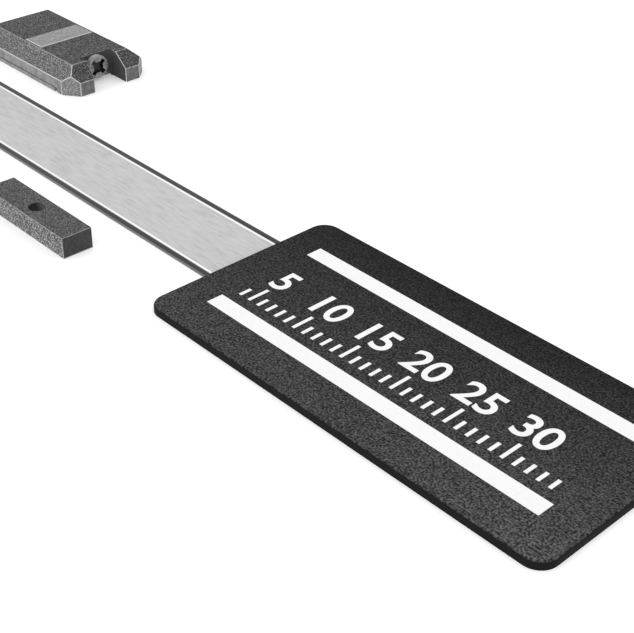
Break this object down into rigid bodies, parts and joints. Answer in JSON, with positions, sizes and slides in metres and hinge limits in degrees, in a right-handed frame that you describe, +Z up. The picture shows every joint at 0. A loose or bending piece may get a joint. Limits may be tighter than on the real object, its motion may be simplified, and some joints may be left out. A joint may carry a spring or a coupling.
{
  "type": "linear encoder tape scale",
  "caption": "Adhesive steel tape scale with a moulded end cover, a limit magnet bar and a screw-adjusted reference mark actuator.",
  "frame": {"origin": "on the mounting surface, on the tape's centreline, below the mouth of the end cover", "axes": "+X along the tape towards its covered end, +Y across it towards the reference mark actuator, +Z up from the mounting surface"},
  "size_m": [0.1013, 0.0273, 0.0028],
  "materials": {
    "glue_film": "thin translucent acrylic glue film",
    "tape_steel": "rolled stainless strip with polished dark-reflecting margins",
    "track_face": "satin graduated face, finely brushed along its length",
    "cover_plastic": "black moulded plastic with a fine leather-like grain",
    "white_stripe": "flat white print",
    "epoxy": "cured two-part epoxy",
    "magnet_black": "dark sintered magnet with a coarse speckled grain",
    "base_steel": "blackened steel plate",
    "screw_steel": "turned steel",
    "nut_brass": "machined brass",
    "blasted_body": "dark cast metal, blasted, with smooth vertical sides",
    "band_grey": "pale satin grey inlay",
    "magnet_nickel": "nickel-plated magnet",
    "keeper_steel": "zinc-plated mild steel",
    "spring_steel": "drawn spring wire"
  },
  "bodies": {
    "fixed_set": {"tape_adhesive": "glue_film", "tape_strip": "tape_steel", "graduated_track": "track_face", "end_cover": "cover_plastic", "cover_pad_far": "glue_film", "cover_pad_near": "glue_film", "cover_pad_end": "glue_film", "cover_stripe_far": "white_stripe", "cover_stripe_near": "white_stripe", "end_bond": "epoxy", "limit_magnet": "magnet_black", "limit_magnet_adhesive": "glue_film", "actuator_adhesive": "glue_film", "actuator_base": "base_steel", "guide_rail": "base_steel", "rail_rivets": "screw_steel", "adjuster_nut": "nut_brass"},
    "actuator_slide": {"actuator_body": "blasted_body", "marker_band": "band_grey", "actuator_magnet_far": "magnet_nickel", "actuator_magnet_near": "magnet_nickel", "magnet_keeper_far": "keeper_steel", "magnet_keeper_near": "keeper_steel", "screw_washer": "screw_steel", "anti_backlash_spring": "spring_steel"},
    "adjuster": {"adjuster_screw": "screw_steel"}
  },
  "joints": [
    {"name": "fine_slide", "type": "slide", "parent": "fixed_set", "child": "actuator_slide", "axis": [1, 0, 0], "range_m": [-0.0003, 0.0003]},
    {"name": "adjuster_turn", "type": "hinge", "parent": "actuator_slide", "child": "adjuster", "pos_m": [-0.03778, 0.01186, 0.00155], "axis": [1, 0, 0], "range_deg": [-360, 360]}
  ],
  "couplings": [
    {"joint": "adjuster_turn", "follows": "fine_slide", "rad_per_m": 20944}
  ]
}
